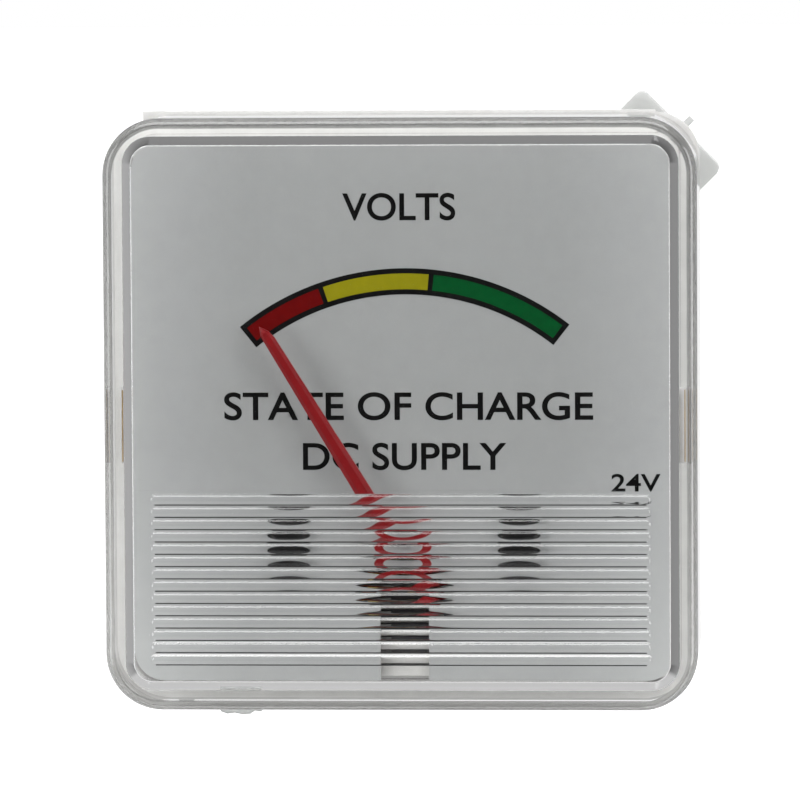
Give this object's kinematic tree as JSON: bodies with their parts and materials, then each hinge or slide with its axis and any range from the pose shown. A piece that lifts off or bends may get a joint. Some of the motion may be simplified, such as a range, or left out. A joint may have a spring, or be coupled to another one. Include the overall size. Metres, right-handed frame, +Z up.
{
  "type": "panel voltmeter",
  "caption": "Square clear-fronted panel voltmeter with a coloured battery condition arc, a red pointer on a pivoted coil, a round rear barrel, fixing studs and screw terminals.",
  "frame": {"origin": "centre of the round barrel, in the plane of the flange's back face, which seats on the panel", "axes": "+X right and +Z up as the dial is read, +Y from the dial back into the panel"},
  "size_m": [0.0508, 0.0482, 0.0508],
  "materials": {
    "clear_plastic": "clear moulded polystyrene, polished",
    "case_plastic": "off-white moulded plastic, fine satin",
    "dial_paint": "matte light grey paint",
    "black_steel": "gloss black",
    "plated_steel": "zinc plated",
    "nylon": "natural translucent nylon",
    "brass": "turned brass",
    "tinned_brass": "tin plated",
    "phenolic": "black moulded plastic",
    "yoke_steel": "blackened soft iron",
    "magnet": "ground magnet alloy",
    "zinc": "die-cast",
    "former_aluminium": "folded foil",
    "copper_wire": "enamelled copper wire",
    "pointer_plastic": "moulded red plastic, satin",
    "bronze": "phosphor bronze",
    "board": "laminate",
    "resistor_body": "lacquered",
    "diode_glass": "glass bead",
    "wire_cover": "thin insulated wire"
  },
  "bodies": {
    "case": {"front_cover": "clear_plastic", "base_housing": "case_plastic", "dial_plate": "dial_paint", "dial_screws": "black_steel", "fixing_studs": "plated_steel", "fixing_nuts": "nylon", "terminal_studs": "brass", "terminal_washers": "brass", "solder_tags": "tinned_brass", "terminal_nuts": "brass", "movement_frame": "phenolic", "frame_screws": "plated_steel", "front_bridge": "phenolic", "rear_bridge": "phenolic", "bridge_screws": "plated_steel", "front_jewel_screw": "brass", "rear_jewel_screw": "brass", "yoke_ring": "yoke_steel", "core_magnet": "magnet", "front_core_bracket": "zinc", "rear_core_bracket": "zinc", "front_hairspring": "bronze", "circuit_board": "board", "series_resistor": "resistor_body", "zener_diode": "diode_glass", "movement_leads": "wire_cover"},
    "moving_coil": {"pointer": "pointer_plastic", "balance_weights": "brass", "front_staff": "plated_steel", "rear_staff": "plated_steel", "coil_former": "former_aluminium", "coil_winding": "copper_wire"},
    "zero_lever": {"zero_arm": "bronze", "rear_hairspring": "bronze"}
  },
  "joints": [
    {"name": "pointer_swing", "type": "hinge", "parent": "case", "child": "moving_coil", "pos_m": [0, 0, -0.0117], "axis": [0, 1, 0], "range_deg": [-3.5, 67.5], "stiffness_Nm_per_rad": 0.0001},
    {"name": "zero_adjust", "type": "hinge", "parent": "case", "child": "zero_lever", "pos_m": [0, 0, -0.0117], "axis": [0, 1, 0], "range_deg": [-12, 12]}
  ]
}
